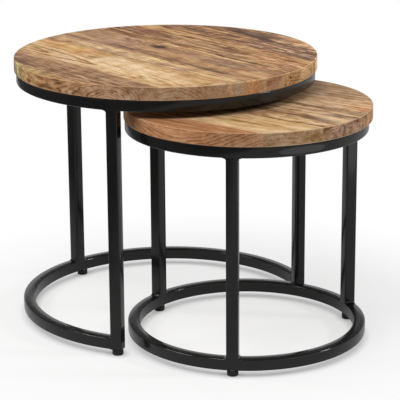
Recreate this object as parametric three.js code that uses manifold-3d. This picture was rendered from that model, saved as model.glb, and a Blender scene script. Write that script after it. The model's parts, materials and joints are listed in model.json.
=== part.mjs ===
// A pair of round nesting tables. Each table has a solid wood top, edge-glued from
// boards, on a welded frame of square steel tube: a rolled top ring, three upright
// legs and a rolled base ring with three screw-in glides. The large table's base
// ring is open at the front, and the small table slides in through that mouth.
// Millimetres. +Z is up, +X is the way the small table pulls out, and the origin is
// on the floor at the middle of the pair's footprint.

import * as THREE from 'three';
import { mergeVertices } from 'three/addons/utils/BufferGeometryUtils.js';
import Module from 'manifold-3d';

const wasm = await Module();
wasm.setup();

// ---------------------------------------------------------------- driving sizes

const LARGE_TOP_RADIUS = 250;
const LARGE_HEIGHT = 443;
const LARGE_OVERHANG = 3; // wood past the outer face of the top ring
const MOUTH_HALF_ANGLE = 63.5; // degrees from +X to each leg beside the mouth

const SMALL_OVERHANG = 3.5;
const SMALL_LEG_TURN = 7.5; // degrees that the small frame is turned from the large one
const SMALL_TOP_SHIFT = 3; // the small top sits this far forward on its frame
const PASS_CLEARANCE = 1.8; // small top to each leg as it passes through the mouth
const NEST_HEADROOM = 11; // small top to the underside of the large top ring
const PULL_OUT = 186; // distance between the two tables' centres at rest

const TOP_THICKNESS = 22;
const TOP_EDGE_EASE = 1.5;
const GLUE_GAP = 0.3;
const LARGE_BOARD_SHARES = [86, 93, 112, 97, 112]; // how the boards share out a top's width
const LARGE_GRAIN_ANGLE = -5; // degrees from +X to the boards' length
const SMALL_BOARD_SHARES = [52, 81, 93, 92, 78];
const SMALL_GRAIN_ANGLE = 8;

const TUBE = 19;
const TUBE_WALL = 1.5;
const TUBE_CORNER = 2;
const WELD_GAP = 0.3;
const VENT_RADIUS = 4; // joins the hollow of a leg to the hollow of its ring

const TAB_WIDTH = 30;
const TAB_LENGTH = 26;
const TAB_THICKNESS = 2.5;
const SCREW_RADIUS = 2;
const SCREW_BITE = 15; // how far a screw reaches into the wood
const SCREW_HEAD_RADIUS = 4.5;
const SCREW_HEAD_HEIGHT = 2.6;
const SCREW_CLEARANCE = 0.4;
const DRIVE_RADIUS = 1.6; // recess in the screw's head
const DRIVE_DEPTH = 1.4;

const FOOT_HEIGHT = 10; // floor to the underside of the frame
const PAD_RADIUS = 9;
const PAD_EDGE = 2;
const SEAT_GAP = 0.3; // pad to the flange above it
const STUD_RADIUS = 4;
const STUD_CLEARANCE = 0.3;
const STUD_HEADROOM = 1; // stud end to the tube's inner face
const SOCKET_DEPTH = 5;
const INSERT_WALL = 1.6;
const INSERT_REACH = 13;
const FLANGE_WIDTH = 1.6;
const FLANGE_THICKNESS = 1;
const BACK_FOOT_OFFSET = 10; // the large back glide stands this far beside its leg

const RING_SEGMENTS = 64;
const TOP_SEGMENTS = 96;
const ROUND_SEGMENTS = 16;
const HOLE_SEGMENTS = 12;
const CUT_MARGIN = 5; // how far cutting tools run past what they cut

// -------------------------------------------------------------- dependent sizes

const rad = THREE.MathUtils.degToRad;

const largeRingRadius = LARGE_TOP_RADIUS - LARGE_OVERHANG;
const mouthHalfWidth = (largeRingRadius - TUBE) * Math.sin(rad(MOUTH_HALF_ANGLE))
  - (TUBE / 2) * Math.cos(rad(MOUTH_HALF_ANGLE));
const smallTopRadius = mouthHalfWidth - PASS_CLEARANCE;
const smallRingRadius = smallTopRadius - SMALL_OVERHANG;
const smallHeight = LARGE_HEIGHT - TOP_THICKNESS - TUBE - NEST_HEADROOM;
const baseTop = FOOT_HEIGHT + TUBE;
const insertRadius = STUD_RADIUS + STUD_CLEARANCE + INSERT_WALL;
const padTop = FOOT_HEIGHT - FLANGE_THICKNESS - SEAT_GAP;
const footprintMiddle = (PULL_OUT + SMALL_TOP_SHIFT + smallTopRadius - LARGE_TOP_RADIUS) / 2;

const LARGE = {
  name: 'large',
  height: LARGE_HEIGHT,
  topRadius: LARGE_TOP_RADIUS,
  topShift: 0,
  ringRadius: largeRingRadius,
  boardShares: LARGE_BOARD_SHARES,
  grainAngle: LARGE_GRAIN_ANGLE,
  legs: { left: MOUTH_HALF_ANGLE, back: 180, right: 360 - MOUTH_HALF_ANGLE },
  openMouth: true,
  backFootOffset: BACK_FOOT_OFFSET,
};

const SMALL = {
  name: 'small',
  height: smallHeight,
  topRadius: smallTopRadius,
  topShift: SMALL_TOP_SHIFT,
  ringRadius: smallRingRadius,
  boardShares: SMALL_BOARD_SHARES,
  grainAngle: SMALL_GRAIN_ANGLE,
  legs: { left: 60 + SMALL_LEG_TURN, back: 180 + SMALL_LEG_TURN, right: 300 + SMALL_LEG_TURN },
  openMouth: false,
  backFootOffset: 0,
};

// ------------------------------------------------------------------- materials

const WOOD_TONES = {
  large: [0x8a6645, 0xc79a66, 0x9c7a58, 0xa06a44, 0x8c5c3c],
  small: [0xa5653f, 0xc69866, 0x8a7050, 0xb98a5c, 0x99704a],
};

function metal(color, roughness, metalness) {
  return new THREE.MeshStandardMaterial({ color, roughness, metalness });
}

const blackPowderCoat = () => metal(0x1c1d1e, 0.42, 0.0);
const zincSteel = () => metal(0xb9bcc0, 0.35, 0.9);
const blackPlastic = () => new THREE.MeshStandardMaterial({ color: 0x141414, roughness: 0.6 });
const mangoWood = (tone) => new THREE.MeshStandardMaterial({ color: tone, roughness: 0.55 });

// ------------------------------------------------------------- solids and cuts

function toSolid(geometry) {
  geometry.deleteAttribute('normal');
  geometry.deleteAttribute('uv');
  const merged = mergeVertices(geometry, 1e-4);
  return new wasm.Manifold(new wasm.Mesh({
    numProp: 3,
    vertProperties: Float32Array.from(merged.attributes.position.array),
    triVerts: Uint32Array.from(merged.index.array),
  }));
}

function toMesh(name, solid, material) {
  const { vertProperties, triVerts } = solid.getMesh();
  const geometry = new THREE.BufferGeometry();
  geometry.setAttribute('position', new THREE.BufferAttribute(vertProperties, 3));
  geometry.setIndex(new THREE.BufferAttribute(triVerts, 1));
  geometry.computeVertexNormals();
  const mesh = new THREE.Mesh(geometry, material);
  mesh.name = name;
  return mesh;
}

// A solid of revolution about +Z. Profile points are [radius, height].
function turned(profile, segments) {
  const points = profile.map(([radius, height]) => new THREE.Vector2(radius, height));
  const geometry = new THREE.LatheGeometry(points, segments);
  geometry.rotateX(Math.PI / 2);
  return toSolid(geometry);
}

function cylinder(radius, bottom, top, segments) {
  return turned([[0, bottom], [radius, bottom], [radius, top], [0, top]], segments);
}

function box(low, high) {
  const geometry = new THREE.BoxGeometry(high[0] - low[0], high[1] - low[1], high[2] - low[2]);
  geometry.translate((low[0] + high[0]) / 2, (low[1] + high[1]) / 2, (low[2] + high[2]) / 2);
  return toSolid(geometry);
}

function prism(shape, bottom, top) {
  const geometry = new THREE.ExtrudeGeometry(shape, { depth: top - bottom, bevelEnabled: false });
  geometry.translate(0, 0, bottom);
  return toSolid(geometry);
}

function onCircle(radius, degrees) {
  return [radius * Math.cos(rad(degrees)), radius * Math.sin(rad(degrees))];
}

// ------------------------------------------------------------------ wooden top

// The whole round slab with eased top and bottom edges, before it is cut into boards.
function slab(table) {
  const bottom = table.height - TOP_THICKNESS;
  const { topRadius: radius, height } = table;
  return turned([
    [0, bottom],
    [radius - TOP_EDGE_EASE, bottom],
    [radius, bottom + TOP_EDGE_EASE],
    [radius, height - TOP_EDGE_EASE],
    [radius - TOP_EDGE_EASE, height],
    [0, height],
  ], TOP_SEGMENTS);
}

function screwPlaces(table) {
  const screwRadius = table.ringRadius - TUBE - TAB_LENGTH / 2;
  return tabAngles(table).map(([, degrees]) => onCircle(screwRadius, degrees));
}

// Where each board starts and ends across the grain, from the middle of the top.
function boardEdges(table) {
  const whole = table.boardShares.reduce((sum, share) => sum + share, 0);
  const edges = [-table.topRadius];
  for (const share of table.boardShares) {
    edges.push(edges.at(-1) + (share / whole) * 2 * table.topRadius);
  }
  return edges;
}

// Boards lie side by side along the grain, parted by the glue lines.
function boards(table) {
  const group = new THREE.Group();
  const bottom = table.height - TOP_THICKNESS;
  const reach = table.topRadius + CUT_MARGIN;
  const edges = boardEdges(table);
  const pilots = screwPlaces(table).map(([x, y]) => (
    cylinder(SCREW_RADIUS + SCREW_CLEARANCE, bottom - CUT_MARGIN,
      bottom + SCREW_BITE + SCREW_CLEARANCE, HOLE_SEGMENTS)
      .translate([x, y, 0])
  ));
  let wood = slab(table).translate([table.topShift, 0, 0]);
  for (const pilot of pilots) wood = wood.subtract(pilot);
  table.boardShares.forEach((_, i) => {
    const strip = box(
      [-reach, i === 0 ? -reach : edges[i] + GLUE_GAP / 2, bottom - CUT_MARGIN],
      [reach, i + 2 === edges.length ? reach : edges[i + 1] - GLUE_GAP / 2, table.height + CUT_MARGIN],
    ).rotate([0, 0, table.grainAngle]);
    const board = wood.intersect(strip.translate([table.topShift, 0, 0]));
    group.add(toMesh(`${table.name}_board_${i + 1}`, board, mangoWood(WOOD_TONES[table.name][i])));
  });
  return group;
}

// ----------------------------------------------------------------- steel frame

// Section of the square tube, centred on [0, 0], with its corners taken off.
function tubeOutline(size, corner) {
  const half = size / 2;
  const flat = half - corner;
  if (corner === 0) return [[-half, -half], [half, -half], [half, half], [-half, half]];
  return [
    [-flat, -half], [flat, -half], [half, -flat], [half, flat],
    [flat, half], [-flat, half], [-half, flat], [-half, -flat],
  ];
}

// A rolled ring of tube, hollow all the way round.
function rolledRing(outerRadius, bottom) {
  const loop = (outline) => {
    const profile = outline.map(([x, z]) => [outerRadius - TUBE / 2 + x, bottom + TUBE / 2 + z]);
    return turned([...profile, profile[0]], RING_SEGMENTS);
  };
  const outside = loop(tubeOutline(TUBE, TUBE_CORNER));
  const inside = loop(tubeOutline(TUBE - 2 * TUBE_WALL, 0));
  return outside.subtract(inside);
}

function drill(solid, radius, places, bottom, top) {
  let drilled = solid;
  for (const [x, y] of places) {
    drilled = drilled.subtract(cylinder(radius, bottom, top, HOLE_SEGMENTS).translate([x, y, 0]));
  }
  return drilled;
}

function legPlaces(table) {
  return Object.values(table.legs).map((degrees) => onCircle(table.ringRadius - TUBE / 2, degrees));
}

function topRing(table) {
  const bottom = table.height - TOP_THICKNESS - TUBE;
  const ring = rolledRing(table.ringRadius, bottom);
  const vented = drill(ring, VENT_RADIUS, legPlaces(table), bottom - CUT_MARGIN, bottom + TUBE / 2);
  return toMesh(`${table.name}_top_ring`, vented, blackPowderCoat());
}

// Takes the front of the base ring away, back to the sides of the two mouth legs.
function mouthCut(table) {
  const reach = table.ringRadius + CUT_MARGIN;
  const side = TUBE / 2 + WELD_GAP;
  const leftLeg = rad(table.legs.left);
  const inward = [Math.cos(leftLeg), Math.sin(leftLeg)];
  const edge = [-side * inward[1], side * inward[0]];
  const far = [edge[0] + 2 * reach * inward[0], edge[1] + 2 * reach * inward[1]];
  const start = edge[0] - (edge[1] * inward[0]) / inward[1];
  const shape = new THREE.Shape([
    new THREE.Vector2(start, 0),
    new THREE.Vector2(far[0], -far[1]),
    new THREE.Vector2(2 * reach, -far[1]),
    new THREE.Vector2(2 * reach, far[1]),
    new THREE.Vector2(far[0], far[1]),
  ]);
  return prism(shape, FOOT_HEIGHT - CUT_MARGIN, baseTop + CUT_MARGIN);
}

function baseRing(table) {
  let ring = rolledRing(table.ringRadius, FOOT_HEIGHT);
  if (table.openMouth) ring = ring.subtract(mouthCut(table));
  const middle = FOOT_HEIGHT + TUBE / 2;
  const inserts = footPlaces(table).filter((foot) => !foot.underOpenLeg).map((foot) => foot.place);
  const hole = insertRadius + STUD_CLEARANCE;
  const vented = drill(ring, VENT_RADIUS, legPlaces(table), middle, baseTop + CUT_MARGIN);
  const drilled = drill(vented, hole, inserts, FOOT_HEIGHT - CUT_MARGIN, middle);
  return toMesh(`${table.name}_base_ring`, drilled, blackPowderCoat());
}

function besideMouth(table, side) {
  return table.openMouth && side !== 'back';
}

// The legs beside the mouth run past the ends of the base ring to its underside.
function leg(table, side) {
  const shape = new THREE.Shape(tubeOutline(TUBE, TUBE_CORNER).map(([x, y]) => new THREE.Vector2(x, y)));
  const bore = tubeOutline(TUBE - 2 * TUBE_WALL, 0).map(([x, y]) => new THREE.Vector2(x, y));
  shape.holes.push(new THREE.Path(bore));
  const bottom = besideMouth(table, side) ? FOOT_HEIGHT : baseTop;
  const tube = prism(shape, bottom, table.height - TOP_THICKNESS - TUBE);
  const mesh = toMesh(`${table.name}_leg_${side}`, tube, blackPowderCoat());
  const [x, y] = onCircle(table.ringRadius - TUBE / 2, table.legs[side]);
  mesh.position.set(x, y, 0);
  mesh.rotation.z = rad(table.legs[side]);
  return mesh;
}

// ------------------------------------------------- tabs and screws for the top

function tabAngles(table) {
  const { left, back, right } = table.legs;
  return [
    ['front', (left + right - 360) / 2],
    ['left', (left + back) / 2],
    ['right', (back + right) / 2],
  ];
}

// A tab is welded inside the top ring, flush with its upper face. It is cut to the
// ring's inner face while it is in the table's own frame.
function tab(table, name, degrees) {
  const top = table.height - TOP_THICKNESS;
  const inner = table.ringRadius - TUBE;
  const plate = box(
    [inner - TAB_LENGTH, -TAB_WIDTH / 2, top - TAB_THICKNESS],
    [inner + CUT_MARGIN, TAB_WIDTH / 2, top],
  ).rotate([0, 0, degrees]);
  const inside = cylinder(inner - WELD_GAP, top - TUBE, top + CUT_MARGIN, RING_SEGMENTS);
  const [x, y] = onCircle(inner - TAB_LENGTH / 2, degrees);
  const drilled = drill(plate.intersect(inside), SCREW_RADIUS + SCREW_CLEARANCE, [[x, y]],
    top - TUBE, top + CUT_MARGIN);
  return toMesh(`${table.name}_tab_${name}`, drilled, blackPowderCoat());
}

// A pan-head wood screw, driven up through its tab, with a recess in its head.
function screw(table, name, [x, y]) {
  const seat = table.height - TOP_THICKNESS - TAB_THICKNESS;
  const tip = table.height - TOP_THICKNESS + SCREW_BITE;
  const headFace = seat - SCREW_HEAD_HEIGHT;
  const solid = turned([
    [0, headFace + DRIVE_DEPTH],
    [DRIVE_RADIUS, headFace + DRIVE_DEPTH],
    [DRIVE_RADIUS, headFace],
    [SCREW_HEAD_RADIUS - SCREW_HEAD_HEIGHT / 2, headFace],
    [SCREW_HEAD_RADIUS, seat - SCREW_HEAD_HEIGHT / 2],
    [SCREW_HEAD_RADIUS, seat],
    [SCREW_RADIUS, seat],
    [SCREW_RADIUS, tip - 2 * SCREW_RADIUS],
    [0, tip],
  ], HOLE_SEGMENTS);
  const mesh = toMesh(`${table.name}_screw_${name}`, solid, zincSteel());
  mesh.position.set(x, y, 0);
  return mesh;
}

// ------------------------------------------------------------------------ feet

function footPlaces(table) {
  const radius = table.ringRadius - TUBE / 2;
  return Object.entries(table.legs).map(([side, degrees]) => {
    const offset = side === 'back' ? table.backFootOffset : 0;
    const turn = THREE.MathUtils.radToDeg(offset / radius);
    return {
      side,
      degrees,
      place: onCircle(radius, degrees - turn),
      underOpenLeg: besideMouth(table, side),
    };
  });
}

// Threaded bush with a flange under the frame; in a leg's open end it is set in a
// square plug that fills the tube.
function threadedInsert(table, foot) {
  const bore = STUD_RADIUS + STUD_CLEARANCE;
  const top = FOOT_HEIGHT - FLANGE_THICKNESS + INSERT_REACH;
  const body = turned([
    [bore, FOOT_HEIGHT - FLANGE_THICKNESS],
    [insertRadius + FLANGE_WIDTH, FOOT_HEIGHT - FLANGE_THICKNESS],
    [insertRadius + FLANGE_WIDTH, FOOT_HEIGHT],
    [insertRadius, FOOT_HEIGHT],
    [insertRadius, top],
    [bore, top],
    [bore, FOOT_HEIGHT - FLANGE_THICKNESS],
  ], ROUND_SEGMENTS);
  if (!foot.underOpenLeg) {
    const mesh = toMesh(`${table.name}_insert_${foot.side}`, body, zincSteel());
    mesh.position.set(...foot.place, 0);
    return mesh;
  }
  const half = TUBE / 2 - TUBE_WALL - WELD_GAP;
  const block = box([-half, -half, FOOT_HEIGHT], [half, half, top]);
  const hollow = cylinder(bore, FOOT_HEIGHT - CUT_MARGIN, top + CUT_MARGIN, ROUND_SEGMENTS);
  const mesh = toMesh(`${table.name}_plug_${foot.side}`, body.add(block).subtract(hollow), blackPlastic());
  mesh.position.set(...foot.place, 0);
  mesh.rotation.z = rad(foot.degrees);
  return mesh;
}

function footPad(table, foot) {
  const socket = STUD_RADIUS + STUD_CLEARANCE;
  const pad = turned([
    [0, 0],
    [PAD_RADIUS - PAD_EDGE, 0],
    [PAD_RADIUS, PAD_EDGE],
    [PAD_RADIUS, padTop],
    [socket, padTop],
    [socket, padTop - SOCKET_DEPTH],
    [0, padTop - SOCKET_DEPTH],
  ], ROUND_SEGMENTS);
  const mesh = toMesh(`${table.name}_foot_${foot.side}`, pad, blackPlastic());
  mesh.position.set(...foot.place, 0);
  return mesh;
}

function footStud(table, foot) {
  const bottom = padTop - SOCKET_DEPTH + STUD_CLEARANCE;
  const top = baseTop - TUBE_WALL - STUD_HEADROOM;
  const stud = cylinder(STUD_RADIUS, bottom, top, ROUND_SEGMENTS);
  const mesh = toMesh(`${table.name}_stud_${foot.side}`, stud, zincSteel());
  mesh.position.set(...foot.place, 0);
  return mesh;
}

// ------------------------------------------------------------------- one table

function buildTable(table) {
  const group = new THREE.Group();
  group.add(boards(table));
  group.add(topRing(table));
  group.add(baseRing(table));
  for (const side of Object.keys(table.legs)) group.add(leg(table, side));
  const places = screwPlaces(table);
  tabAngles(table).forEach(([name, degrees], i) => {
    group.add(tab(table, name, degrees));
    group.add(screw(table, name, places[i]));
  });
  for (const foot of footPlaces(table)) {
    group.add(threadedInsert(table, foot));
    group.add(footPad(table, foot));
    group.add(footStud(table, foot));
  }
  return group;
}

const nestingTables = new THREE.Group();
const largeTable = buildTable(LARGE);
largeTable.position.x = -footprintMiddle;
const smallTable = buildTable(SMALL);
smallTable.position.x = PULL_OUT - footprintMiddle;
nestingTables.add(largeTable, smallTable);

export default nestingTables;
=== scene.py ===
import json
from math import atan2, cos, pi, radians, sin, sqrt

import bmesh
import bpy
from mathutils import Matrix, Vector

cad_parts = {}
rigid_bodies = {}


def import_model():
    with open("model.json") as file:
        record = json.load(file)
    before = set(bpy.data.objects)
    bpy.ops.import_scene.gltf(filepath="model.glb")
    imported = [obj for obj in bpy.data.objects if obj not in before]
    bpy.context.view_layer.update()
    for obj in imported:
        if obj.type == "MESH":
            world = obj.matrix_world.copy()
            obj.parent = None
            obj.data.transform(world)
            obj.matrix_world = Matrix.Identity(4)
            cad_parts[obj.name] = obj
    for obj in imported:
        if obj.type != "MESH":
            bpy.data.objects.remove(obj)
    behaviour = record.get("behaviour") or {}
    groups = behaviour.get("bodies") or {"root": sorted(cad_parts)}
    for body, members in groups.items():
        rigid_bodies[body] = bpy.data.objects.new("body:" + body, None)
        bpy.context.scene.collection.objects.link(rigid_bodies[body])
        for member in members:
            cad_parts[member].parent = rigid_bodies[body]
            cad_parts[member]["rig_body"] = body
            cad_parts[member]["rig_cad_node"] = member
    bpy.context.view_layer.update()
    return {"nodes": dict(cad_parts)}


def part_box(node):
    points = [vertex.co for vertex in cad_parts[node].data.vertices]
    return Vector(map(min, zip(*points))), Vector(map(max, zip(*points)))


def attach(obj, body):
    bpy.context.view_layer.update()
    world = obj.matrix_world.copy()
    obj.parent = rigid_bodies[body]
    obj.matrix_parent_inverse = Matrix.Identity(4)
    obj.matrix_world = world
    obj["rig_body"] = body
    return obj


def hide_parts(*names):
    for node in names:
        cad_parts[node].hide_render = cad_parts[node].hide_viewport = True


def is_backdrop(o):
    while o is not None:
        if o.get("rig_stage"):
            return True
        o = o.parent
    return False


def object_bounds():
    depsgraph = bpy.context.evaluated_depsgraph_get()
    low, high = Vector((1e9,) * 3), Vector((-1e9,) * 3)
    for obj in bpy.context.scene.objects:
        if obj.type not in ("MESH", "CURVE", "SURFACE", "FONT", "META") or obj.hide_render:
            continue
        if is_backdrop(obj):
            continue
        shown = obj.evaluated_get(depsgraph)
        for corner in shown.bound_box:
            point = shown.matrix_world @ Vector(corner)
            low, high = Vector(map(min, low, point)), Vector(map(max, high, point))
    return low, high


# A pair of round nesting side tables: lacquered mango tops, edge-glued from five
# boards each, on black powder-coated frames of rolled and welded square tube.
# The small table stands half under the large one. Metres, +Z up.
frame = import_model()


# ------------------------------------------------------------------ camera
# A long lens a little above the tops, looking across the pair from its front
# left corner, so that both tops and both base rings can be seen.

CAMERA_PLACE = Vector((2.0480, -1.9969, 1.0495))
CAMERA_TURN = radians(45.58)
CAMERA_DIP = radians(16.46)
CAMERA_ROLL = radians(-0.362)
FOCAL_LENGTH = 161.49

lens = bpy.data.cameras.new("camera")
lens.sensor_width = 36
lens.lens = FOCAL_LENGTH
camera = bpy.data.objects.new("camera", lens)
camera.matrix_world = (
    Matrix.Translation(CAMERA_PLACE)
    @ Matrix.Rotation(CAMERA_TURN, 4, "Z")
    @ Matrix.Rotation(pi / 2 - CAMERA_DIP, 4, "X")
    @ Matrix.Rotation(CAMERA_ROLL, 4, "Z")
)
bpy.context.scene.collection.objects.link(camera)
bpy.context.scene.camera = camera
bpy.context.scene.view_settings.view_transform = "Standard"


# ------------------------------------------------------- floor and soft light
# A pale studio floor that runs on past the view, a broad soft light overhead, two
# at the left, one at the right and a faint one low down at the front right.

FLOOR_SIZE = 60
FLOOR_WHITE = 0.9
FLOOR_GLOW = 0.94  # near the tables, white further off
FLOOR_NEAR, FLOOR_FAR = 0.25, 0.64  # the floor's own shade ends between these distances
SHADE_KEPT = 0.29  # share of the real shading that the near floor shows
CONTACT_REACH = 0.015  # how near a piece has to be to darken the floor under it
CONTACT_SHARE = 0.8
CONTACT_SAMPLES = 16
DARK_SIDE = radians(-120)  # the floor that the metal mirrors is darker on this side
DUSK_REACH = 0.3, 0.85  # distances over which it gets darker
DUSK_SHADE = 0.55, 0.1  # its brightness before and after
WALL_SHADE = 0.10, 0.45  # brightness of the studio walls, low down and high up
WALL_RISE = 0.15, 0.55  # heights between which they change, as the sine of the angle
BACKDROP_EDGE = 0.318, 0.34  # upper edge of the white backdrop, counted the same way
WALL_MIRRORED = 0.25  # how bright the walls look in the metal
LAMPS = (
    ("overhead_light", (0.42, -1.15, 2.05), (0.9, 0.9), 18.5),
    ("left_light", (-0.73, -1.8, 1.72), (0.7, 0.7), 13.0),
    ("far_left_light", (-1.32, -1.03, 1.99), (0.6, 0.6), 8.0),
    ("right_light", (1.7, 1.3, 1.35), (0.4, 0.4), 19.0),
    ("low_light", (1.12, 0.06, 0.1), (0.8, 0.3), 0.6),
)


def add(tree, kind, inputs, **settings):
    """Adds a shader node, sets it up and feeds its sockets with values or other nodes' outputs."""
    node = tree.nodes.new("ShaderNode" + kind)
    for key, value in settings.items():
        setattr(node, key, value)
    for key, value in inputs.items():
        if isinstance(value, bpy.types.NodeSocket):
            tree.links.new(value, node.inputs[key])
        else:
            node.inputs[key].default_value = value
    return node


def times(tree, a, b):
    return add(tree, "Math", {0: a, 1: b}, operation="MULTIPLY").outputs[0]


def larger(tree, a, b):
    return add(tree, "Math", {0: a, 1: b}, operation="MAXIMUM").outputs[0]


def between(tree, value, low, high, start=0.0, end=1.0):
    """Eases from start to end as a value goes from low to high."""
    return add(tree, "MapRange", {
        "Value": value, "From Min": low, "From Max": high, "To Min": start, "To Max": end,
    }, interpolation_type="SMOOTHSTEP").outputs[0]


def seen_directly(tree):
    """1 for camera, glossy and transmission rays, 0 for the rays that carry light to the object."""
    path = add(tree, "LightPath", {}).outputs
    sharp = larger(tree, path["Is Camera Ray"], path["Is Glossy Ray"])
    return larger(tree, sharp, path["Is Transmission Ray"])


bpy.ops.object.select_all(action="DESELECT")
bpy.ops.mesh.primitive_plane_add(size=FLOOR_SIZE)
floor = bpy.context.object
floor.name = "studio_floor"
floor_material = bpy.data.materials.new("studio_floor")
floor_material.use_nodes = True
tree = floor_material.node_tree
tree.nodes.clear()
place = add(tree, "TexCoord", {}).outputs["Object"]
away = add(tree, "VectorMath", {0: place}, operation="LENGTH").outputs["Value"]
fade = between(tree, away, FLOOR_NEAR, FLOOR_FAR, 1 - SHADE_KEPT, 1.0)
shade = add(tree, "BsdfDiffuse", {"Color": (FLOOR_WHITE, FLOOR_WHITE, FLOOR_WHITE, 1)})
contact = add(tree, "AmbientOcclusion", {"Distance": CONTACT_REACH}, samples=CONTACT_SAMPLES)
touched = add(tree, "MapRange", {
    "Value": contact.outputs["AO"], "To Min": 1 - CONTACT_SHARE, "To Max": 1.0,
})
whiter = between(tree, away, FLOOR_NEAR, FLOOR_FAR, FLOOR_GLOW, 1.0)
aside = add(tree, "VectorMath", {
    0: place, 1: (cos(DARK_SIDE), sin(DARK_SIDE), 0),
}, operation="DOT_PRODUCT")
dusk = between(tree, aside.outputs["Value"], *DUSK_REACH, *DUSK_SHADE)
path = add(tree, "LightPath", {})
mirrored = add(tree, "Mix", {0: path.outputs["Is Glossy Ray"], 2: 1.0, 3: dusk})
lit = times(tree, times(tree, touched.outputs[0], whiter), mirrored.outputs[0])
glow = add(tree, "Emission", {"Color": (1, 1, 1, 1), "Strength": lit})
mixed = add(tree, "MixShader", {
    0: times(tree, fade, seen_directly(tree)), 1: shade.outputs[0], 2: glow.outputs[0],
})
add(tree, "OutputMaterial", {"Surface": mixed.outputs[0]})
floor.data.materials.append(floor_material)
floor.select_set(False)
floor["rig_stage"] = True

for name, spot, size, power in LAMPS:
    lamp = bpy.data.lights.new(name, "AREA")
    lamp.shape = "ELLIPSE"
    lamp.size, lamp.size_y = size
    lamp.energy = power
    holder = bpy.data.objects.new(name, lamp)
    holder.location = spot
    holder.rotation_euler = Vector(spot).to_track_quat("Z", "Y").to_euler()
    bpy.context.scene.collection.objects.link(holder)

world = bpy.data.worlds.new("studio_walls")
bpy.context.scene.world = world
world.use_nodes = True
tree = world.node_tree
tree.nodes.clear()
place = add(tree, "TexCoord", {}).outputs["Generated"]
height = add(tree, "SeparateXYZ", {0: place}).outputs["Z"]
wall = between(tree, height, *WALL_RISE, *WALL_SHADE)
backdrop = between(tree, height, *BACKDROP_EDGE, 1.0, 0.0)
mirrored = larger(tree, backdrop, times(tree, wall, WALL_MIRRORED))
seen = add(tree, "Mix", {0: seen_directly(tree), 2: wall, 3: mirrored})
glow = add(tree, "Background", {"Color": (1, 1, 1, 1), "Strength": seen.outputs[0]})
add(tree, "OutputWorld", {"Surface": glow.outputs[0]})


# ------------------------------------------------------------------ wooden tops
# Each top is five mango boards, edge-glued, turned round, eased along both
# edges, sanded and given a thin satin lacquer. Three blind holes underneath
# take the screws.

TOP_SEGMENTS = 256
TOP_THICKNESS = 0.022
TOP_EASE = 0.0016
EASE_STEPS = 4
GLUE_LINE = 0.00006
ARRIS = 0.00012  # sanded edge along each glue line
ARRIS_STEPS = 2
GRAIN = {"large": radians(-5.0), "small": radians(8.0)}
FLOW_REACH = 0.02  # how far the streaks stray with the wandering grain
PILOT_RADIUS = 0.0024
PILOT_DEPTH = 0.0154
PILOT_STEPS = 24
TINY = 1e-6  # two places nearer than this are one
SMOOTH_ANGLE = 32


def open_primitive(name):
    """Names the new primitive, puts its place in its mesh and opens it in edit mode."""
    piece = bpy.context.object
    piece.name = piece.data.name = name
    bpy.ops.object.transform_apply(location=True, rotation=True, scale=True)
    bpy.ops.object.mode_set(mode="EDIT")
    return piece


def choose(kind, wanted):
    """In edit mode, selects only the vertices, edges or faces that pass a test."""
    bpy.ops.mesh.select_mode(type=kind)
    bpy.ops.mesh.select_all(action="DESELECT")
    mesh = bmesh.from_edit_mesh(bpy.context.edit_object.data)
    elements = {"VERT": mesh.verts, "EDGE": mesh.edges, "FACE": mesh.faces}[kind]
    for element in elements:
        element.select_set(bool(wanted(element)))
    mesh.select_flush_mode()
    bmesh.update_edit_mesh(bpy.context.edit_object.data)


def close_piece(piece, angle=SMOOTH_ANGLE):
    """Merges doubles, turns the faces outward, shades the shallow ones smooth and deselects."""
    bpy.ops.mesh.select_mode(type="VERT")
    bpy.ops.mesh.select_all(action="SELECT")
    bpy.ops.mesh.remove_doubles(threshold=TINY)
    bpy.ops.mesh.normals_make_consistent(inside=False)
    bpy.ops.object.mode_set(mode="OBJECT")
    bpy.ops.object.shade_smooth_by_angle(angle=radians(angle))
    piece.select_set(False)


def make_active(piece):
    bpy.ops.object.select_all(action="DESELECT")
    piece.select_set(True)
    bpy.context.view_layer.objects.active = piece


def smooth(piece):
    """Shades the shallow edges of a finished piece smooth again, once it has been cut."""
    make_active(piece)
    bpy.ops.object.shade_smooth_by_angle(angle=radians(SMOOTH_ANGLE))


def apply_modifier(piece, kind, **settings):
    """Adds a modifier to a piece and applies it."""
    make_active(piece)
    modifier = piece.modifiers.new(kind.lower(), kind)
    for key, value in settings.items():
        setattr(modifier, key, value)
    bpy.ops.object.modifier_apply(modifier=modifier.name)


def cut_away(piece, cutter):
    """Takes the cutter's shape out of the piece and removes the cutter."""
    cutter.select_set(False)
    apply_modifier(piece, "BOOLEAN", object=cutter, operation="DIFFERENCE", solver="EXACT")
    bpy.data.objects.remove(cutter)
    piece.select_set(False)


def own_copy(piece, name):
    """A copy of a piece with a mesh of its own."""
    copy = piece.copy()
    copy.data = piece.data.copy()
    copy.name = copy.data.name = name
    bpy.context.scene.collection.objects.link(copy)
    return copy


def cad_names(*words):
    """Names of the CAD nodes that hold any of these words, in order."""
    return sorted(name for name in frame["nodes"] if any(word in name for word in words))


def union_box(names):
    """Lowest and highest corner of several CAD nodes together."""
    boxes = [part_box(name) for name in names]
    low = Vector(min(box[0][i] for box in boxes) for i in range(3))
    high = Vector(max(box[1][i] for box in boxes) for i in range(3))
    return low, high


def middle_of(name):
    low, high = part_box(name)
    return (low + high) / 2


def dress(piece, material, body, node):
    """Gives a finished piece its material and lets it stand for its CAD node."""
    piece.data.materials.clear()
    piece.data.materials.append(material)
    piece.select_set(False)
    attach(piece, body)
    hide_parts(node)


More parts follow.
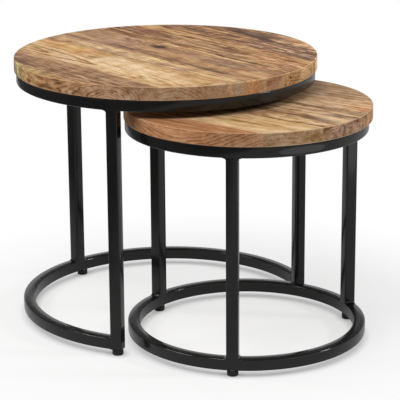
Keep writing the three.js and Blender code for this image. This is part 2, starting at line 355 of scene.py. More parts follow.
def new_material(name, **sockets):
    """A Principled shader with its own sockets set. Returns the material, its tree and the shader."""
    material = bpy.data.materials.new(name)
    material.use_nodes = True
    tree = material.node_tree
    tree.nodes.clear()
    shader = add(tree, "BsdfPrincipled", sockets)
    add(tree, "OutputMaterial", {"Surface": shader.outputs[0]})
    return material, tree, shader


def colour(code):
    """A linear colour from a hex code such as 8a6645."""
    channels = [int(code[i:i + 2], 16) / 255 for i in (0, 2, 4)]
    return tuple(c / 12.92 if c < 0.04045 else ((c + 0.055) / 1.055) ** 2.4 for c in channels) + (1,)


def noise(tree, vector, scale, detail=2.0, roughness=0.5):
    """Noise stretched by a scale for each axis."""
    stretched = add(tree, "Mapping", {"Vector": vector, "Scale": scale}).outputs[0]
    return add(tree, "TexNoise", {
        "Vector": stretched, "Scale": 1.0, "Detail": detail, "Roughness": roughness,
    })


def plus(tree, a, b):
    return add(tree, "Math", {0: a, 1: b}, operation="ADD").outputs[0]


def mix(tree, share, first, second, mode="MIX"):
    """Mixes two colours."""
    return add(tree, "Mix", {0: share, 6: first, 7: second}, data_type="RGBA", blend_type=mode).outputs[2]


def swung(tree, level, value, amount):
    """Moves a level up or down as a noise value leaves its middle."""
    middle = add(tree, "Math", {0: value, 1: amount, 2: -0.5 * amount}, operation="MULTIPLY_ADD")
    return plus(tree, level, middle.outputs[0])


def relief(tree, shader, height, strength, depth):
    """Lets a height stand out of the surface."""
    bump = add(tree, "Bump", {"Height": height, "Strength": strength, "Distance": depth})
    tree.links.new(bump.outputs[0], shader.inputs["Normal"])


def distance_from(tree, vector, place, size):
    """Distance from a place, counted in sizes along each axis."""
    local = add(tree, "Mapping", {"Vector": vector, "Location": place, "Scale": size}, vector_type="TEXTURE")
    return add(tree, "VectorMath", {0: local.outputs[0]}, operation="LENGTH").outputs["Value"]


def grain_flow(tree, vector, wander, reach, swirls):
    """Lets the grain wander, and pass round the knots."""
    bent = add(tree, "VectorMath", {
        0: wander, 1: (0, reach, reach), 2: vector,
    }, operation="MULTIPLY_ADD").outputs[0]
    for shift in swirls:
        bent = add(tree, "VectorMath", {0: bent, 1: shift}, operation="ADD").outputs[0]
    return bent


TRUNK_LENGTH = 1000  # the rings are drawn out this many times along the trunk
RAGGED = 0.007  # how far a ring strays from round
RAGGED_SCALE = (24, 130, 130)
LATE_FROM, LATE_TO = 0.4, 0.95  # part of a year's ring in which the wood darkens
YEAR_CHANGE, ZONE_CHANGE = 0.8, 0.23  # how fast the rings' strength and tone change, per year
POOR_YEAR, GOOD_YEAR = 0.25, 0.6
LATE_FAR_OUT = 0.3  # how clear the rings stay far from the heart


def growth_rings(tree, bent, seeded, board):
    """Late wood at the end of each year's ring, counted from the heart of the tree."""
    heart = add(tree, "Mapping", {
        "Vector": bent, "Location": (0, *board["heart"]),
        "Rotation": (0, board["lean"], 0), "Scale": (TRUNK_LENGTH, 1, 1),
    }, vector_type="TEXTURE").outputs[0]
    radius = add(tree, "VectorMath", {0: heart}, operation="LENGTH").outputs["Value"]
    ragged = noise(tree, seeded, RAGGED_SCALE, 4, 0.6).outputs[0]
    radius = plus(tree, times(tree, ragged, RAGGED), radius)
    count = times(tree, radius, 1 / board["ring"])
    year = add(tree, "Math", {0: count}, operation="FRACT").outputs[0]
    strength = add(tree, "TexNoise", {
        "W": count, "Scale": YEAR_CHANGE, "Detail": 1.0,
    }, noise_dimensions="1D")
    late = times(tree, between(tree, year, LATE_FROM, LATE_TO),
                 between(tree, strength.outputs[0], POOR_YEAR, GOOD_YEAR))
    far_out = between(tree, radius, 0.4 * board["tight"], board["tight"], 1.0, LATE_FAR_OUT)
    late = times(tree, late, far_out)
    zone = add(tree, "TexNoise", {
        "W": count, "Scale": ZONE_CHANGE, "Detail": 2.0,
    }, noise_dimensions="1D")
    return late, zone.outputs[0]


FIGURE = {  # noises in the wood: scale along and across the grain, detail and roughness
    "broad": (2.4, 30, 3, 0.5),
    "streak": (4.5, 75, 4, 0.62),
    "thread": (8, 180, 4, 0.62),
    "fleck": (42, 210, 3, 0.65),
    "dash": (10, 150, 3, 0.7),
    "fibre": (20, 620, 3, 0.6),
    "pore": (40, 700, 1, 0.5),
    "curl": (52, 20, 3, 0.55),
    "mottle": (34, 85, 4, 0.65),
}
UNBENT = ("broad", "curl")  # those that don't follow the wandering grain
LINES = (("streak", 0.9), ("thread", 1.3), ("fleck", 1.1))  # how strongly each line shows
DASH_EDGE = 0.56, 0.7
WANDER_SCALE = (3.0, 11, 11)
SWIRL_LENGTH = 2.2  # along the grain, in widths
MIDDLE_TONE = 0.56
TONE_STOPS = (0.33, 0.62)  # where a board's two middle tones lie between dark and light
TINT_FROM, END_FROM, END_TO = 0.05, 0.1, 0.5  # between these long grain turns to end grain
END_RINGS = -0.55  # how dark late wood is on the end grain
FIBRE_TONE = (0.16, 0.09, 0.045, 1)
FIBRE_SHOWN = 0.3, 0.7, 0.0, 0.3  # between two noise levels, from none to this share
PORE_TONE = (0.05, 0.025, 0.012, 1)
PORE_SHOWN = 0.62, 0.70, 0.0, 0.4
GLOSS = 0.38, 0.48  # roughness of the lacquer
EDGE_WEAR_AND_HIGHLIGHT = 0.4  # how far the eased edges are paled, partly sanding wear and mostly a painted highlight
EASED_FROM, EASED_TO = (0.1, 0.4), (0.85, 0.98)  # how upright the surface is along them
MARK_DEPTH = 1.4 * TOP_THICKNESS
MARK_EDGE = 0.5, 1.3  # a mark fades out between these, counted in its half sizes
MARK_RAGGED = 2.6  # how far the grain frays its edge, less for a short one


def mango(name, centre, turn, board):
    """Lacquered mango: growth rings, streaks and pores along the grain, swirls round the knots,
    the board's patches (one of them a painted sheen on a rim), end grain with a tint that is
    partly its own colour and partly a painted sheen, and eased edges paled, partly by sanding
    and mostly as a painted highlight. Marks are (along mm, across mm, half length, half width,
    colour, share)."""
    material, tree, shader = new_material(name, **{"Specular IOR Level": 0.03})
    place = add(tree, "TexCoord", {})
    along = add(tree, "Mapping", {
        "Vector": place.outputs["Object"], "Location": centre, "Rotation": (0, 0, turn),
    }, vector_type="TEXTURE").outputs[0]
    seeded = add(tree, "VectorMath", {0: along, 1: board["seed"]}, operation="ADD").outputs[0]
    wander = noise(tree, seeded, WANDER_SCALE, 1.5).outputs["Color"]
    swirls = []
    for x, y, reach, lift in board.get("swirls", ()):
        far = distance_from(tree, along, (x, y, TOP_THICKNESS), (SWIRL_LENGTH * reach, reach, reach))
        pull = between(tree, far, 0.0, 2.0, lift, 0.0)
        swirls.append(add(tree, "CombineXYZ", {"Y": pull, "Z": pull}).outputs[0])
    bent = grain_flow(tree, along, wander, board["wander"], swirls)
    late, zone = growth_rings(tree, bent, seeded, board)
    flowing = grain_flow(tree, seeded, wander, FLOW_REACH, swirls)
    figure = {}
    for kind, (length, width, detail, roughness) in FIGURE.items():
        vector = seeded if kind in UNBENT else flowing
        figure[kind] = noise(tree, vector, (length, width, width), detail, roughness).outputs[0]
    facing = place.outputs["Normal"]
    ends = add(tree, "VectorMath", {0: facing, 1: (cos(turn), sin(turn), 0)}, operation="DOT_PRODUCT")
    ends = add(tree, "Math", {0: ends.outputs["Value"]}, operation="ABSOLUTE").outputs[0]
    upright = add(tree, "SeparateXYZ", {0: facing}).outputs["Z"]
    upright = add(tree, "Math", {0: upright}, operation="ABSOLUTE").outputs[0]

    lines = between(tree, figure["dash"], *DASH_EDGE, 0.0, -board["dashes"])
    for kind, strength in LINES:
        lines = swung(tree, lines, figure[kind], strength * board["streaks"])
    patchy = swung(tree, 0.0, figure["mottle"], 1.0)
    level = swung(tree, MIDDLE_TONE, zone, 0.5)
    level = swung(tree, level, figure["broad"], 1.0)
    level = swung(tree, level, figure["curl"], board["curl"])
    for part, on_faces, on_ends in (
        (patchy, 0.65, 0.9),
        (lines, 1.0, 0.55),
        (late, -board["rings"], END_RINGS),
        # lifts the end grain: partly its own colour, partly a painted sheen on the rims
        (1.0, 0.0, board["pale"]),
    ):
        share = between(tree, ends, END_FROM, END_TO, on_faces, on_ends)
        level = plus(tree, level, times(tree, part, share))
    ramp = add(tree, "ValToRGB", {0: level})
    stops = ramp.color_ramp.elements
    for position in TONE_STOPS:
        stops.new(position)
    for stop, tone in zip(stops, board["tones"]):
        stop.color = colour(tone)
    base = ramp.outputs[0]

    middling = [(low + high) / 2 for low, high in zip(*map(colour, board["tones"][1:3]))]
    edge = swung(tree, figure["streak"], figure["thread"], 0.8)
    for x, y, length, width, tone, share in board["marks"]:
        far = distance_from(tree, along, (x / 1000, y / 1000, TOP_THICKNESS),
                            (length / 1000, width / 1000, MARK_DEPTH))
        far = swung(tree, far, edge, min(MARK_RAGGED, 0.1 * length))
        tint = tuple(wanted / usual for wanted, usual in zip(colour(tone), middling))
        base = mix(tree, between(tree, far, *MARK_EDGE, share, 0.0), base, tint, mode="MULTIPLY")
    base = mix(tree, between(tree, figure["fibre"], *FIBRE_SHOWN), base, FIBRE_TONE)
    base = mix(tree, between(tree, figure["pore"], *PORE_SHOWN), base, PORE_TONE)

    # End grain tinted: partly its own colour, partly a painted sheen on the rims.
    tinted = between(tree, ends, TINT_FROM, END_TO)
    base = mix(tree, tinted, base, colour(board["end"]), mode="MULTIPLY")
    # The eased edges are paled: partly sanding wear, mostly a painted highlight along them.
    eased = times(tree, between(tree, upright, *EASED_FROM),
                  between(tree, upright, *EASED_TO, 1.0, 0.0))
    base = mix(tree, times(tree, eased, EDGE_WEAR_AND_HIGHLIGHT), base, colour(board["tones"][3]))

    tree.links.new(base, shader.inputs["Base Color"])
    tree.links.new(between(tree, figure["broad"], 0.3, 0.7, *GLOSS), shader.inputs["Roughness"])
    height = plus(tree, times(tree, figure["fibre"], 0.6), times(tree, figure["pore"], -0.8))
    relief(tree, shader, height, strength=0.12, depth=0.0003)
    return material


# Each board's tones run from dark to light. "end" tints its end grain and "pale" lightens
# it, both partly the end grain's own colour and partly a painted sheen on the rims.
# "streaks", "dashes", "rings" and "curl" say how strongly each shows. "ring" is the
# width of a year's ring, "tight" how far from the heart the rings stay clear, "heart" the
# middle of the tree as (across, up), "lean" and "wander" how the grain runs, "seed" where
# the noises start. "swirls" are (along, across, reach, lift), where the grain passes a knot.
BOARDS = {
    "large_board_1": {
        "tones": ("58391b", "916847", "b58a63", "d6b081"), "end": "e6eafa",
        "pale": 0.16, "streaks": 0.85, "dashes": 0.2, "rings": 0.9, "curl": 1.1,
        "ring": 0.0036, "tight": 0.045, "heart": (-0.211, 0.003), "lean": 0.0,
        "wander": 0.01, "seed": (3.1, 0.4, 0.0),
        "marks": (
            (-150, -182, 60, 15, "7a5348", 0.45),
            (-70, -236, 90, 12, "bb9f6a", 0.8),
            (90, -190, 80, 16, "b8906c", 0.6),
            (-100, -232, 30, 8, "c8ac80", 0.7),
        ),
    },
    "large_board_2": {
        "tones": ("865b22", "c3945c", "dfbe93", "f6debb"), "end": "c6bcbc",
        "pale": 0.16, "streaks": 0.6, "dashes": 0.2, "rings": 0.6, "curl": 0.7,
        "ring": 0.005, "tight": 0.06, "heart": (-0.132, 0.002), "lean": 0.05,
        "wander": 0.022, "seed": (7.3, 1.9, 0.0),
        "marks": (
            (-170, -95, 110, 30, "c99452", 0.7),
            (-215, -72, 24, 13, "93622f", 0.8),
            (-205, -125, 30, 10, "b9a760", 0.5),
            (-55, -108, 13, 5, "8a5a2c", 0.8),
            (100, -115, 120, 44, "e8c698", 0.6),
        ),
    },
    "large_board_3": {
        "tones": ("57371b", "9b704b", "c09367", "e2ba89"), "end": "eeeef8",
        "pale": 0.33, "streaks": 0.9, "dashes": 0.35, "rings": 0.4, "curl": 0.7,
        "ring": 0.0055, "tight": 0.08, "heart": (0.03, -0.09), "lean": 0.02,
        "wander": 0.024, "seed": (1.7, 5.2, 0.0),
        "swirls": ((-0.048, 0.025, 0.022, 0.02),),
        "marks": (
            (-20, -52, 250, 17, "d9b587", 0.75),
            (-150, 0, 110, 44, "a17c64", 0.6),
            (35, -38, 26, 9, "cbae62", 0.45),
            (172, -64, 26, 8, "cda258", 0.5),
            (145, -27, 80, 6, "5f4a2e", 0.85),
            (130, 22, 90, 20, "a98873", 0.45),
            (246, -54, 12, 10, "6a5a48", 0.5),
            (250, -24, 12, 12, "c07e4a", 0.5),
            (250, 20, 10, 18, "7c4c34", 0.6),
            (-48, 25, 30, 20, "84583a", 0.6),
            (-48, 25, 18, 12, "30100a", 1.0),
        ),
    },
    "large_board_4": {
        "tones": ("4e2a0c", "8e5b35", "b9895b", "e4b983"), "end": "f6faff",
        "pale": 0.3, "streaks": 1.25, "dashes": 0.5, "rings": 0.4, "curl": 0.6,
        "ring": 0.0055, "tight": 0.2, "heart": (0.05, -0.12), "lean": 0.01,
        "wander": 0.022, "seed": (9.9, 2.2, 0.0),
        "marks": (
            (-165, 95, 46, 34, "9a5b3c", 0.75),
            (-20, 100, 100, 28, "8e6845", 0.75),
            (-150, 85, 85, 60, "8c6038", 0.9),
            (150, 57, 120, 3.2, "553a1c", 0.9),
            (40, 72, 120, 3, "5f4424", 0.8),
            (60, 49, 150, 4, "d6b284", 0.5),
            (180, 95, 60, 10, "d09a70", 0.6),
        ),
    },
    "large_board_5": {
        "tones": ("43230d", "845937", "b58659", "e2b27b"), "end": "fff8ee",
        "pale": 0.35, "streaks": 1.2, "dashes": 0.4, "rings": 0.4, "curl": 0.7,
        "ring": 0.006, "tight": 0.2, "heart": (0.19, -0.05), "lean": 0.03,
        "wander": 0.022, "seed": (4.4, 8.3, 0.0),
        "marks": (
            (-10, 222, 85, 22, "573c33", 0.8),
            (-160, 160, 50, 18, "7c4d38", 0.55),
            (130, 158, 90, 7, "d6ae80", 0.6),
            (130, 185, 110, 40, "dcb084", 0.95),
            # a painted sheen where the rim turns away at the far right
            (225, 195, 55, 50, "e0b898", 0.2),
        ),
    },
    "small_board_1": {
        "tones": ("875730", "ac7851", "c4926e", "d6a884"), "end": "e2e4e6",
        "pale": 0.08, "streaks": 0.45, "dashes": 0.12, "rings": 0.4, "curl": 0.3,
        "ring": 0.004, "tight": 0.3, "heart": (-0.11, -0.05), "lean": 0.02,
        "wander": 0.01, "seed": (2.6, 3.8, 0.0),
        "marks": (),
    },
    "small_board_2": {
        "tones": ("845b2a", "be9462", "dab78c", "f2d5ad"), "end": "cdc9d4",
        "pale": -0.05, "streaks": 0.8, "dashes": 0.15, "rings": 0.25, "curl": 0.4,
        "ring": 0.006, "tight": 0.1, "heart": (-0.11, -0.05), "lean": 0.05,
        "wander": 0.02, "seed": (6.1, 7.7, 0.0),
        "marks": (
            (110, -118, 90, 12, "e2c492", 0.5),
            (130, -80, 70, 14, "c39a5c", 0.45),
        ),
    },
    "small_board_3": {
        "tones": ("46331d", "a67b53", "d6b28a", "f4d4aa"), "end": "d0ccd8",
        "pale": -0.02, "streaks": 1.2, "dashes": 0.45, "rings": 0.3, "curl": 0.4,
        "ring": 0.005, "tight": 0.1, "heart": (-0.01, -0.12), "lean": 0.0,
        "wander": 0.02, "seed": (0.9, 9.1, 0.0),
        "marks": (
            (150, -24, 62, 11, "66523f", 0.8),
            (165, 8, 34, 7, "5d4936", 0.8),
            (120, -52, 60, 8, "c79c62", 0.5),
        ),
    },
    "small_board_4": {
        "tones": ("52371b", "aa7e55", "d4ae86", "f0cea4"), "end": "dcd6d8",
        "pale": 0.0, "streaks": 1.15, "dashes": 0.45, "rings": 0.3, "curl": 0.4,
        "ring": 0.005, "tight": 0.1, "heart": (0.07, -0.12), "lean": 0.0,
        "wander": 0.02, "seed": (5.5, 0.8, 0.0),
        "marks": (
            (120, 40, 75, 7, "7a6044", 0.75),
            (172, 70, 32, 18, "c27d52", 0.65),
        ),
    },
    "small_board_5": {
        "tones": ("52351d", "95724b", "bd9672", "dcb48c"), "end": "fff8f0",
        "pale": 0.1, "streaks": 1.2, "dashes": 0.35, "rings": 0.35, "curl": 0.4,
        "ring": 0.005, "tight": 0.2, "heart": (0.17, -0.1), "lean": 0.02,
        "wander": 0.02, "seed": (8.2, 6.4, 0.0),
        "marks": (),
    },
}

for table, turn in GRAIN.items():
    names = cad_names(f"{table}_board_")
    low, high = union_box(names)
    middle = (low + high) / 2
    bpy.ops.mesh.primitive_cylinder_add(
        vertices=TOP_SEGMENTS, radius=(high.y - low.y) / 2, depth=high.z - low.z, location=middle)
    slab = open_primitive(f"{table}_slab")
    choose("EDGE", lambda edge: abs(edge.verts[0].co.z - edge.verts[1].co.z) < TINY)
    bpy.ops.mesh.bevel(offset=TOP_EASE, segments=EASE_STEPS, affect="EDGES")
    close_piece(slab)
    for screw in ("front", "left", "right"):
        hole = middle_of(f"{table}_screw_{screw}")
        hole.z = low.z
        bpy.ops.mesh.primitive_cylinder_add(
            vertices=PILOT_STEPS, radius=PILOT_RADIUS, depth=2 * PILOT_DEPTH, location=hole)
        cut_away(slab, bpy.context.object)
    across = Vector((-sin(turn), cos(turn), 0))
    spans = []
    for name in names:
        reach = [across.dot(vertex.co - middle) for vertex in frame["nodes"][name].data.vertices]
        spans.append((min(reach), max(reach)))
    seams = [(spans[i][1] + spans[i + 1][0]) / 2 for i in range(len(names) - 1)]
    for i, name in enumerate(names):
        board = own_copy(slab, f"{name}_wood")
        make_active(board)
        bpy.ops.object.mode_set(mode="EDIT")
        if i > 0:
            bpy.ops.mesh.select_all(action="SELECT")
            bpy.ops.mesh.bisect(plane_co=middle + across * (seams[i - 1] + GLUE_LINE / 2),
                                plane_no=across, use_fill=True, clear_inner=True)
        if i < len(seams):
            bpy.ops.mesh.select_all(action="SELECT")
            bpy.ops.mesh.bisect(plane_co=middle + across * (seams[i] - GLUE_LINE / 2),
                                plane_no=across, use_fill=True, clear_outer=True)
        choose("FACE", lambda face: abs(face.normal.dot(across)) > 0.9999 and len(face.verts) > 8)
        bpy.ops.mesh.region_to_loop()
        bpy.ops.mesh.bevel(offset=ARRIS, segments=ARRIS_STEPS, affect="EDGES")
        close_piece(board)
        apply_modifier(board, "WEIGHTED_NORMAL", keep_sharp=True, weight=100)
        centre = (middle.x, middle.y, low.z)
        wood = mango(f"{name}_mango", centre, turn, BOARDS[name])
        dress(board, wood, f"{table}_table", name)
    bpy.data.objects.remove(slab)


# ----------------------------------------------------------------- rolled rings
# Square steel tube, rolled to a ring and butt-welded, blasted and powder-coated
# satin black. The large base ring is cut open where the small table goes in.

TUBE = 0.019
TUBE_WALL = 0.0015
CORNER = 0.0022
CORNER_STEPS = 4
RING_STEPS = 192
INSERT_BODY = 0.0062
INSERT_HOLE_DEPTH = 0.014
INSERT_HOLE_STEPS = 48
CLOUD_EDGE = 0.3, 0.7  # the part of the noise that a plain finish drifts over


def clouded(name, scale, dark, light, gloss, **sockets):
    """A plain finish whose tone and roughness drift. Returns it, its tree, shader and place."""
    material, tree, shader = new_material(name, **sockets)
    spot = add(tree, "TexCoord", {}).outputs["Object"]
    cloud = noise(tree, spot, (scale, scale, scale), 3).outputs[0]
    tone = mix(tree, between(tree, cloud, *CLOUD_EDGE), dark, light)
    tree.links.new(tone, shader.inputs["Base Color"])
    tree.links.new(between(tree, cloud, *CLOUD_EDGE, *gloss), shader.inputs["Roughness"])
    return material, tree, shader, spot


def powder_coat(name):
    """Satin black coating with a fine orange peel."""
    material, tree, shader, spot = clouded(
        name, scale=14, dark=(0.0045, 0.0042, 0.004, 1), light=(0.0075, 0.007, 0.0067, 1),
        gloss=(0.4, 0.5),
        **{"Specular IOR Level": 0.06, "Coat Weight": 0.7, "Coat Roughness": 0.1})
    peel = noise(tree, spot, (900, 900, 900), 2).outputs[0]
    wave = noise(tree, spot, (60, 60, 60), 2).outputs[0]
    height = plus(tree, times(tree, peel, 0.25), times(tree, wave, 1.2))
    relief(tree, shader, height, strength=0.2, depth=0.0004)
    return material


coating = powder_coat("satin_black_powder_coat")


def turned_from(leg, centre):
    """Angle about the ring's centre at which a leg stands."""
    place = middle_of(leg)
    return atan2(place.y - centre.y, place.x - centre.x)


def rolled_ring(name, centre, radius, bottom, start, sweep):
    """A square with rounded corners, spun clockwise about the ring's centre."""
    out = Vector((cos(start), sin(start), 0))
    bpy.ops.mesh.primitive_plane_add(size=TUBE)
    ring = open_primitive(name)
    bpy.ops.mesh.select_all(action="SELECT")
    bpy.ops.mesh.bevel(offset=CORNER, segments=CORNER_STEPS, affect="VERTICES")
    bpy.ops.mesh.delete(type="ONLY_FACE")
    bpy.ops.object.mode_set(mode="OBJECT")
    stand = Matrix((out, (0, 0, 1), (out.y, -out.x, 0))).transposed().to_4x4()
    ring.data.transform(Matrix.Translation(centre + out * (radius - TUBE / 2)
                                           + Vector((0, 0, bottom + TUBE / 2))) @ stand)
    bpy.ops.object.mode_set(mode="EDIT")
    bpy.ops.mesh.select_mode(type="VERT")
    bpy.ops.mesh.select_all(action="SELECT")
    bpy.ops.mesh.spin(steps=RING_STEPS, angle=sweep, center=centre, axis=(0, 0, 1))
    return ring


ring_places = {}
for table in GRAIN:
    body = f"{table}_table"
    low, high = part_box(f"{table}_top_ring")
    centre = Vector(((low.x + high.x) / 2, (low.y + high.y) / 2, 0))
    radius = (high.y - low.y) / 2
    ring_places[table] = (centre, radius)
    ring = rolled_ring(f"{table}_top_ring_steel", centre, radius, low.z, 0, 2 * pi)
    close_piece(ring)
    dress(ring, coating, body, f"{table}_top_ring")

    base = f"{table}_base_ring"
    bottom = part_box(base)[0].z
    if table == "large":
        left = turned_from("large_leg_left", centre)
        right = turned_from("large_leg_right", centre) + 2 * pi
        ring = rolled_ring(f"{base}_steel", centre, radius, bottom, right, right - left)
        for angle, side in ((left, 1), (right, -1)):
            outward = Vector((cos(angle), sin(angle), 0))
            tangent = Vector((-sin(angle), cos(angle), 0)) * side
            choose("VERT", lambda vertex: (vertex.co - centre).dot(outward) > radius / 2)
            bpy.ops.mesh.bisect(plane_co=centre + tangent * TUBE / 2, plane_no=tangent,
                                use_fill=True, clear_inner=True)
    else:
        ring = rolled_ring(f"{base}_steel", centre, radius, bottom, 0, 2 * pi)
    close_piece(ring)
    for insert in cad_names(f"{table}_insert_"):
        hole = middle_of(insert)
        hole.z = bottom
        bpy.ops.mesh.primitive_cylinder_add(
            vertices=INSERT_HOLE_STEPS, radius=INSERT_BODY, depth=2 * INSERT_HOLE_DEPTH,
            location=hole)
        cut_away(ring, bpy.context.object)
    smooth(ring)
    dress(ring, coating, body, base)


# ------------------------------------------------------------------------- legs
# Straight lengths of the same square tube. The two beside the mouth run down
# past the ends of the base ring and are open at the foot, where a plug goes in.

PLUG_POCKET = 0.013
FLAT = 0.9  # a face whose normal is this upright lies flat

for name in cad_names("_leg_"):
    table = name.split("_")[0]
    centre, radius = ring_places[table]
    low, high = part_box(name)
    bpy.ops.mesh.primitive_cube_add(
        size=1, location=middle_of(name), scale=(TUBE, TUBE, high.z - low.z),
        rotation=(0, 0, turned_from(name, centre)))
    leg = open_primitive(f"{name}_steel")
    choose("EDGE", lambda edge: abs(edge.verts[0].co.z - edge.verts[1].co.z) > TUBE)
    bpy.ops.mesh.bevel(offset=CORNER, segments=CORNER_STEPS, affect="EDGES")
    if table == "large" and not name.endswith("back"):
        choose("FACE", lambda face: face.normal.z < -FLAT)
        bpy.ops.mesh.inset(thickness=TUBE_WALL)
        bpy.ops.mesh.extrude_region_move(TRANSFORM_OT_translate={"value": (0, 0, PLUG_POCKET)})
    close_piece(leg)
    dress(leg, coating, f"{table}_table", name)


# ------------------------------------------------------------------- weld beads
# A fillet weld runs round every joint between a leg and a ring, dressed smooth
# under the top ring and left slightly rippled at the base, under the coating.

TOP_FLARE = 0.0052
BASE_FLARE = 0.0034
FLARE_STEPS = 6
BEAD_START = 0.1  # height of the short collar that the bead grows from, in flares
BEAD_CORNER_STEPS = 3
BEAD_ANGLE = 50
DEPTH_AT_RING = 0.965  # the bead narrows a little where the ring curves away
RIPPLE_SIZE = 0.004
SMOOTH_RIPPLE, ROUGH_RIPPLE = 0.0002, 0.0006
BEAD_GAP = 0.0004  # the beads at the mouth stop this far above the ring's underside


def looks_up(face):
    return face.normal.z > FLAT


def weld_collar(name, flare, ripple):
    """The end of a tube flaring sideways to the face it is welded to, which is at z = 0."""
    start = flare * BEAD_START
    bpy.ops.mesh.primitive_cube_add(size=1, scale=(TUBE, TUBE, start),
                                    location=(0, 0, -flare - start / 2))
    collar = open_primitive(name)
    choose("EDGE", lambda edge: abs(edge.verts[0].co.z - edge.verts[1].co.z) > start / 2)
    bpy.ops.mesh.bevel(offset=CORNER, segments=BEAD_CORNER_STEPS, affect="EDGES")
    width = TUBE / 2
    for step in range(1, FLARE_STEPS + 1):
        rise = flare * step / FLARE_STEPS
        wide = TUBE / 2 + flare - sqrt(max(flare ** 2 - rise ** 2, 0))
        depth = 1 + (DEPTH_AT_RING - 1) * step / FLARE_STEPS
        last = 1 + (DEPTH_AT_RING - 1) * (step - 1) / FLARE_STEPS
        choose("FACE", looks_up)
        bpy.ops.mesh.extrude_region_move(
            TRANSFORM_OT_translate={"value": (0, 0, flare / FLARE_STEPS)})
        bpy.ops.transform.resize(value=(depth / last, wide / width, 1), center_override=(0, 0, 0))
        width = wide
    choose("FACE", looks_up)
    bpy.ops.mesh.extrude_region_move(TRANSFORM_OT_translate={"value": (0, 0, CORNER)})
    close_piece(collar, BEAD_ANGLE)
    texture = bpy.data.textures.new(name, "CLOUDS")
    texture.noise_scale = RIPPLE_SIZE
    apply_modifier(collar, "SUBSURF", subdivision_type="SIMPLE", levels=1, render_levels=1)
    apply_modifier(collar, "DISPLACE", texture=texture, strength=ripple, mid_level=0.5,
                   texture_coords="LOCAL")
    collar.select_set(False)
    return collar


smooth_collar = weld_collar("smooth_collar", TOP_FLARE, SMOOTH_RIPPLE)
rippled_collar = weld_collar("rippled_collar", BASE_FLARE, ROUGH_RIPPLE)

for table in GRAIN:
    centre, radius = ring_places[table]
    ring_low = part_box(f"{table}_top_ring")[0].z
    base_low, base_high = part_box(f"{table}_base_ring")
    beads = []
    for side in ("left", "back", "right"):
        angle = turned_from(f"{table}_leg_{side}", centre)
        upright = Matrix.Rotation(angle, 4, "Z")
        foot = centre + Vector((cos(angle), sin(angle), 0)) * (radius - TUBE / 2)
        bead = own_copy(smooth_collar, f"{table}_{side}_top_bead")
        bead.data.transform(Matrix.Translation(foot + Vector((0, 0, ring_low))) @ upright)
        beads.append(bead)
        bead = own_copy(rippled_collar, f"{table}_{side}_base_bead")
        if table == "large" and side != "back":
            sign = 1 if side == "left" else -1
            tangent = Vector((-sin(angle), cos(angle), 0)) * sign
            outward = Vector((cos(angle), sin(angle), 0))
            turn = Matrix((outward, outward.cross(tangent) * -1, tangent * -1)).transposed().to_4x4()
            spot = foot + tangent * TUBE / 2 + Vector((0, 0, (base_low.z + base_high.z) / 2))
            bead.data.transform(Matrix.Translation(spot) @ turn)
            make_active(bead)
            bpy.ops.object.mode_set(mode="EDIT")
            bpy.ops.mesh.select_all(action="SELECT")
            bpy.ops.mesh.bisect(plane_co=(0, 0, base_low.z + BEAD_GAP), plane_no=(0, 0, 1),
                                use_fill=True, clear_inner=True)
            close_piece(bead, BEAD_ANGLE)
        else:
            flip = upright @ Matrix.Rotation(pi, 4, "X")
            bead.data.transform(Matrix.Translation(foot + Vector((0, 0, base_high.z))) @ flip)
        beads.append(bead)
    bpy.ops.object.select_all(action="DESELECT")
    for bead in beads:
        bead.select_set(True)
    bpy.context.view_layer.objects.active = beads[0]
    bpy.ops.object.join()
    welds = bpy.context.object
    welds.name = welds.data.name = f"{table}_welds"
    welds.data.materials.clear()
    welds.data.materials.append(coating)
    welds.select_set(False)
    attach(welds, f"{table}_table")
bpy.data.objects.remove(smooth_collar)
bpy.data.objects.remove(rippled_collar)


# ------------------------------------------------------------------- fixing tabs
# Flat steel tabs, 30 by 26 by 2.5 mm, welded inside the top ring flush with its
# upper face and coated with the frame. The top is screwed down through them.

TAB_EDGE = 0.0004

for name in cad_names("_tab_"):
    tab = own_copy(frame["nodes"][name], f"{name}_steel")
    tab.parent = None
    for key in ("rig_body", "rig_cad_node"):  # tags of the CAD node, which the copy has no use for
        del tab[key]
    make_active(tab)
    bpy.ops.object.mode_set(mode="EDIT")
    bpy.ops.mesh.select_all(action="SELECT")
    bpy.ops.mesh.remove_doubles(threshold=TINY)
    bpy.ops.mesh.dissolve_limited(angle_limit=radians(2))
    close_piece(tab)
    apply_modifier(tab, "BEVEL", width=TAB_EDGE, segments=2, limit_method="ANGLE",
                   angle_limit=radians(60))
    smooth(tab)
    dress(tab, coating, f"{name.split('_')[0]}_table", name)


# ----------------------------------------------------------------------- screws
# Zinc-plated pan-head wood screws, 4 mm, with a cross recess, driven up through
# the tabs into the blind holes in the top.

SCREW_SHANK = 0.002
HEAD_HEIGHT = 0.0026
HEAD_RADIUS = 0.0045
HEAD_STEPS = 48
HEAD_ROUNDING = 0.55 * HEAD_HEIGHT
HEAD_ROUNDING_STEPS = 5
TIP_LENGTH = 2 * SCREW_SHANK
TIP_SHARE = 0.02  # share of the shank's width that is left at the point
RECESS = (0.0052, 0.0009, 0.0016)  # length, width and twice the depth of a slot


def zinc_plate(name):
    """Bright zinc with a faint cloudy passivation."""
    material, tree, shader, spot = clouded(
        name, scale=220, dark=(0.50, 0.51, 0.53, 1), light=(0.62, 0.61, 0.56, 1),
        gloss=(0.25, 0.42), Metallic=1.0)
    grain = noise(tree, spot, (2500, 2500, 2500), 1).outputs[0]
    relief(tree, shader, grain, strength=0.08, depth=0.0001)
    return material


def at_foot(edge):
    """True for the edges that lie at z = 0."""
    return max(vertex.co.z for vertex in edge.verts) < TINY


zinc = zinc_plate("bright_zinc_plate")

